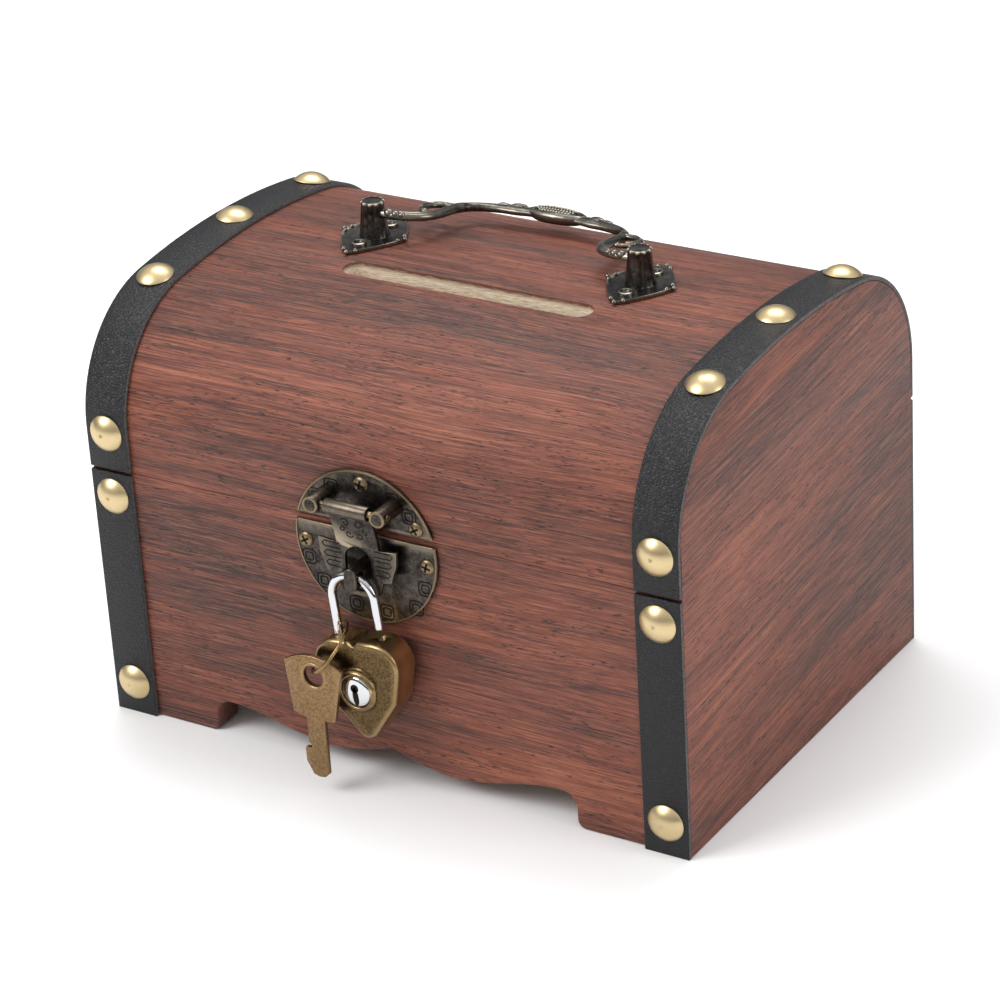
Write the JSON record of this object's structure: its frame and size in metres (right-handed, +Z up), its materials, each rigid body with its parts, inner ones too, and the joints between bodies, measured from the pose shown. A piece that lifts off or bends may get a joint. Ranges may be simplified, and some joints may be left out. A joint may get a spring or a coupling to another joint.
{
  "type": "wooden money box",
  "caption": "Small wooden money box shaped like a chest: a hinged domed lid with a coin slot and carry handle, straps with studs, and a hasp held by a padlock with its key.",
  "frame": {"origin": "on the surface that the box stands on, in the middle of its whole footprint, padlock and hinges included", "axes": "+X to the right along the box seen from its lock side, +Z up; the lock side faces -Y"},
  "size_m": [0.145, 0.1202, 0.1066],
  "materials": {
    "stained_wood": "reddish-brown stain under satin varnish",
    "raw_wood": "bare",
    "strap_leather": "pebbled black",
    "stud_brass": "satin",
    "dark_plate": "dark antique plating with bright rims",
    "hasp_brass": "satin",
    "dark_casting": "dark antique bronze with worn edges",
    "antique_brass": "matte antique",
    "bright_chrome": "polished"
  },
  "bodies": {
    "box": {"front_panel": "stained_wood", "back_panel": "stained_wood", "left_end_panel": "stained_wood", "right_end_panel": "stained_wood", "floor_panel": "raw_wood", "strap_front_left": "strap_leather", "strap_front_right": "strap_leather", "strap_back_left": "strap_leather", "strap_back_right": "strap_leather", "box_studs": "stud_brass", "lock_plate": "dark_plate", "staple": "dark_plate", "lock_plate_screws": "dark_plate", "hinge_left_box_leaf": "dark_plate", "hinge_right_box_leaf": "dark_plate", "hinge_left_pin": "dark_plate", "hinge_right_pin": "dark_plate", "hinge_box_screws": "dark_plate"},
    "lid": {"lid_board": "stained_wood", "lid_left_end": "stained_wood", "lid_right_end": "stained_wood", "lid_strap_left": "strap_leather", "lid_strap_right": "strap_leather", "lid_studs": "stud_brass", "catch_plate": "dark_plate", "hasp_posts": "dark_plate", "hasp_pin": "hasp_brass", "catch_plate_screws": "dark_plate", "hinge_left_lid_leaf": "dark_plate", "hinge_right_lid_leaf": "dark_plate", "hinge_lid_screws": "dark_plate", "handle_post_left": "dark_casting", "handle_post_right": "dark_casting", "handle_screws": "dark_casting"},
    "bail": {"handle_bail": "dark_casting"},
    "hasp": {"hasp_flap": "dark_plate"},
    "shackle": {"padlock_shackle": "bright_chrome"},
    "lock_case": {"padlock_front": "antique_brass", "padlock_cover": "antique_brass"},
    "plug": {"padlock_plug": "bright_chrome", "padlock_latch": "antique_brass"},
    "key_ring": {"key_ring": "antique_brass"},
    "key": {"padlock_key": "antique_brass"}
  },
  "joints": [
    {"name": "lid_hinge", "type": "hinge", "parent": "box", "child": "lid", "pos_m": [0, 0.0584, 0.0595], "axis": [-1, 0, 0], "range_deg": [0, 105]},
    {"name": "bail_swing", "type": "hinge", "parent": "lid", "child": "bail", "pos_m": [0, 0.0096, 0.1038], "axis": [1, 0, 0], "range_deg": [0, 190]},
    {"name": "padlock_off", "type": "slide", "parent": "box", "child": "shackle", "axis": [0, -1, 0], "range_m": [0, 0.1]},
    {"name": "hasp_swing", "type": "hinge", "parent": "lid", "child": "hasp", "pos_m": [-0.0019, -0.0527, 0.0665], "axis": [-1, 0, 0], "range_deg": [0, 180]},
    {"name": "lock_close", "type": "slide", "parent": "shackle", "child": "lock_case", "axis": [-0.1045, 0, 0.9945], "range_m": [0, 0.006]},
    {"name": "plug_turn", "type": "hinge", "parent": "lock_case", "child": "plug", "pos_m": [-0.00062, -0.0519, 0.02611], "axis": [0, 1, 0], "range_deg": [0, 90]},
    {"name": "ring_turn", "type": "hinge", "parent": "lock_case", "child": "key_ring", "pos_m": [-0.00844, -0.05374, 0.03352], "axis": [-0.6613, -0.385, 0.6437], "range_deg": [0, 20]},
    {"name": "key_swing", "type": "hinge", "parent": "key_ring", "child": "key", "pos_m": [-0.00989, -0.05832, 0.02929], "axis": [0, 1, 0], "range_deg": [-20, 20]}
  ],
  "couplings": [
    {"joint": "hasp_swing", "follows": "padlock_off", "rad_per_m": 31.416}
  ]
}
